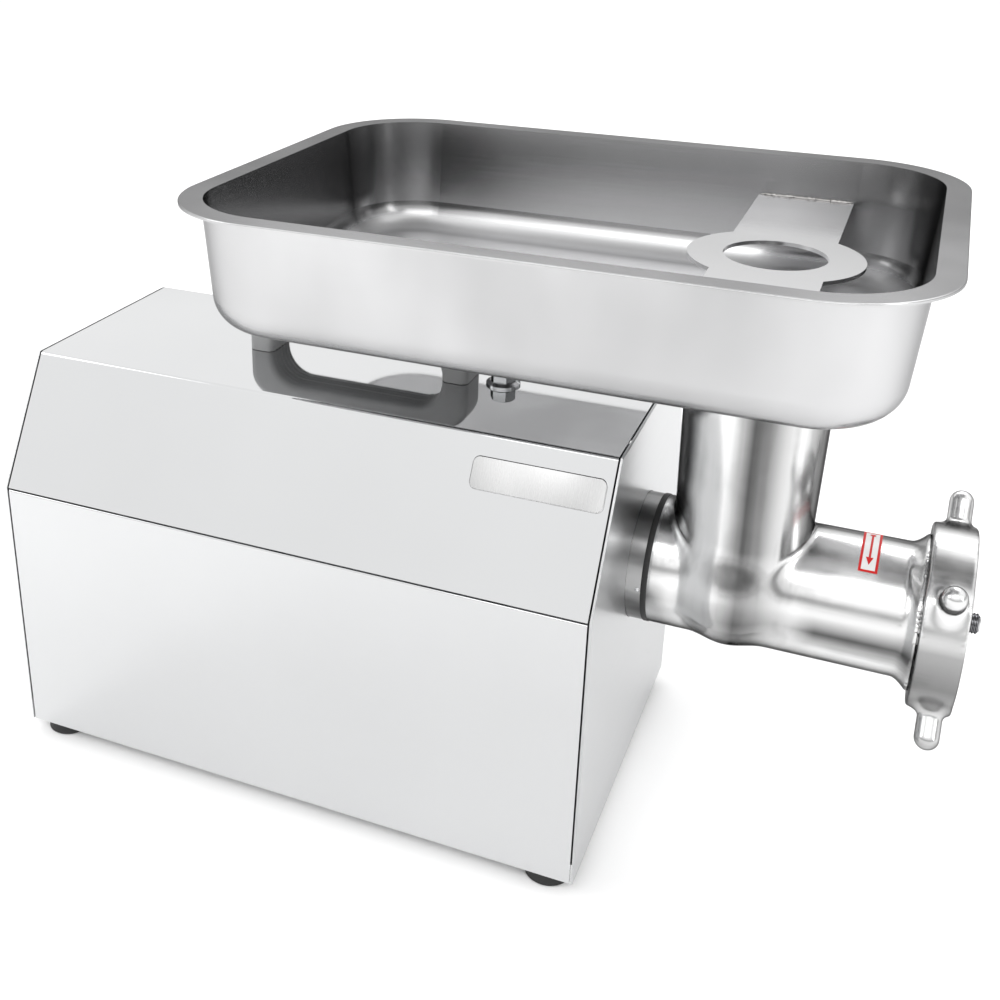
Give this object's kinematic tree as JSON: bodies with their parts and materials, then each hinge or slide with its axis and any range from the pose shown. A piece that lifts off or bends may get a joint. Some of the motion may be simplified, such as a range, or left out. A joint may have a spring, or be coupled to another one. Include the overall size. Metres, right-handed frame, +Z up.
{
  "type": "electric meat grinder",
  "caption": "Stainless box with motor and geared drive, cast grinding head with auger and ring nut, and a lift-off feed tray with guard.",
  "frame": {"origin": "on the floor under the middle of the whole machine, feet on z = 0", "axes": "+X along the auger towards the outlet, +Z up along the feed bore, +Y towards the side with the switch"},
  "size_m": [0.55, 0.278, 0.3665],
  "materials": {
    "case_steel": "bright polished stainless sheet",
    "rubber": "black rubber",
    "zinc": "bright zinc plate",
    "nameplate": "satin, blank",
    "handle_plastic": "dark grey moulded",
    "black_plastic": "black moulded",
    "green_plastic": "green",
    "red_plastic": "red",
    "lamination": "stacked steel",
    "copper": "varnished copper wire",
    "cast_aluminium": "die cast",
    "bearing_steel": "ground steel",
    "gear_steel": "cut steel",
    "capacitor_case": "off-white",
    "collar_iron": "dark machined",
    "head_steel": "satin cast stainless",
    "auger_steel": "ground",
    "bronze": "sintered bronze",
    "tray_steel": "satin stainless sheet"
  },
  "bodies": {
    "housing": {"base_plate": "case_steel", "feet": "rubber", "foot_screws": "zinc", "side_panel_right": "case_steel", "side_panel_left": "case_steel", "upper_cover": "case_steel", "end_panel_front": "case_steel", "end_panel_rear": "case_steel", "rear_screws": "zinc", "rear_screw_nuts": "zinc", "nameplate": "nameplate", "carry_handle": "handle_plastic", "handle_screws": "zinc", "cover_bolt": "zinc", "cable_gland": "black_plastic", "gland_nut": "black_plastic", "switch_box": "black_plastic", "motor_stator": "lamination", "stator_windings": "copper", "motor_rear_bell": "cast_aluminium", "motor_front_bell": "cast_aluminium", "motor_bearings": "bearing_steel", "motor_cradle": "cast_aluminium", "motor_tie_bolts": "zinc", "run_capacitor": "capacitor_case", "capacitor_clip": "zinc", "gearbox_housing": "cast_aluminium", "gearbox_cover": "cast_aluminium", "gearbox_bolts": "zinc", "gearbox_bearings": "bearing_steel", "oil_seal": "rubber", "head_collar": "collar_iron", "collar_bolts": "zinc", "locating_pin": "bearing_steel"},
    "rotor": {"motor_shaft": "bearing_steel", "rotor_core": "lamination", "motor_pinion": "gear_steel", "cooling_fan": "black_plastic"},
    "countershaft_set": {"countershaft": "bearing_steel", "countershaft_gear": "gear_steel", "countershaft_pinion": "gear_steel"},
    "output_set": {"output_gear": "gear_steel", "output_shaft": "bearing_steel"},
    "lock_screw": {"head_lock_screw": "bearing_steel"},
    "head": {"head_casting": "head_steel", "auger_bush": "bronze"},
    "auger_set": {"auger": "auger_steel", "cutter_knife": "auger_steel"},
    "plate_carrier": {"grinder_plate": "auger_steel"},
    "nut": {"ring_nut": "head_steel"},
    "tray": {"tray_pan": "tray_steel", "tray_spigot": "tray_steel", "feed_guard": "tray_steel"},
    "start_key": {"start_button": "green_plastic"},
    "stop_key": {"stop_button": "red_plastic"}
  },
  "joints": [
    {"name": "output_spin", "type": "hinge", "parent": "housing", "child": "output_set", "pos_m": [0.035, 0, 0.157], "axis": [1, 0, 0], "continuous": true},
    {"name": "countershaft_spin", "type": "hinge", "parent": "housing", "child": "countershaft_set", "pos_m": [0.013, 0.02773, 0.11554], "axis": [1, 0, 0], "continuous": true},
    {"name": "motor_spin", "type": "hinge", "parent": "housing", "child": "rotor", "pos_m": [-0.087, 0, 0.084], "axis": [1, 0, 0], "continuous": true},
    {"name": "head_slide", "type": "slide", "parent": "housing", "child": "head", "axis": [1, 0, 0], "range_m": [0, 0.09]},
    {"name": "auger_spin", "type": "hinge", "parent": "head", "child": "auger_set", "pos_m": [0.18, 0, 0.157], "axis": [1, 0, 0], "continuous": true},
    {"name": "lock_screw_turn", "type": "hinge", "parent": "housing", "child": "lock_screw", "pos_m": [0.1, 0.045, 0.157], "axis": [0, 1, 0], "range_deg": [0, 720]},
    {"name": "plate_slide", "type": "slide", "parent": "head", "child": "plate_carrier", "axis": [1, 0, 0], "range_m": [0, 0.024]},
    {"name": "ring_nut_turn", "type": "hinge", "parent": "plate_carrier", "child": "nut", "pos_m": [0.256, 0, 0.157], "axis": [1, 0, 0], "range_deg": [0, 2880.5]},
    {"name": "tray_lift", "type": "slide", "parent": "head", "child": "tray", "axis": [0, 0, 1], "range_m": [0, 0.1]},
    {"name": "start_press", "type": "slide", "parent": "housing", "child": "start_key", "axis": [0, -1, 0], "range_m": [0, 0.003], "stiffness_N_per_m": 400, "springref_m": -0.002},
    {"name": "stop_press", "type": "slide", "parent": "housing", "child": "stop_key", "axis": [0, -1, 0], "range_m": [0, 0.003], "stiffness_N_per_m": 400, "springref_m": -0.002}
  ],
  "couplings": [
    {"joint": "countershaft_spin", "follows": "output_spin", "ratio": -2.8},
    {"joint": "motor_spin", "follows": "output_spin", "ratio": 8.4},
    {"joint": "auger_spin", "follows": "output_spin", "ratio": 1},
    {"joint": "ring_nut_turn", "follows": "plate_slide", "rad_per_m": 2094.4}
  ]
}
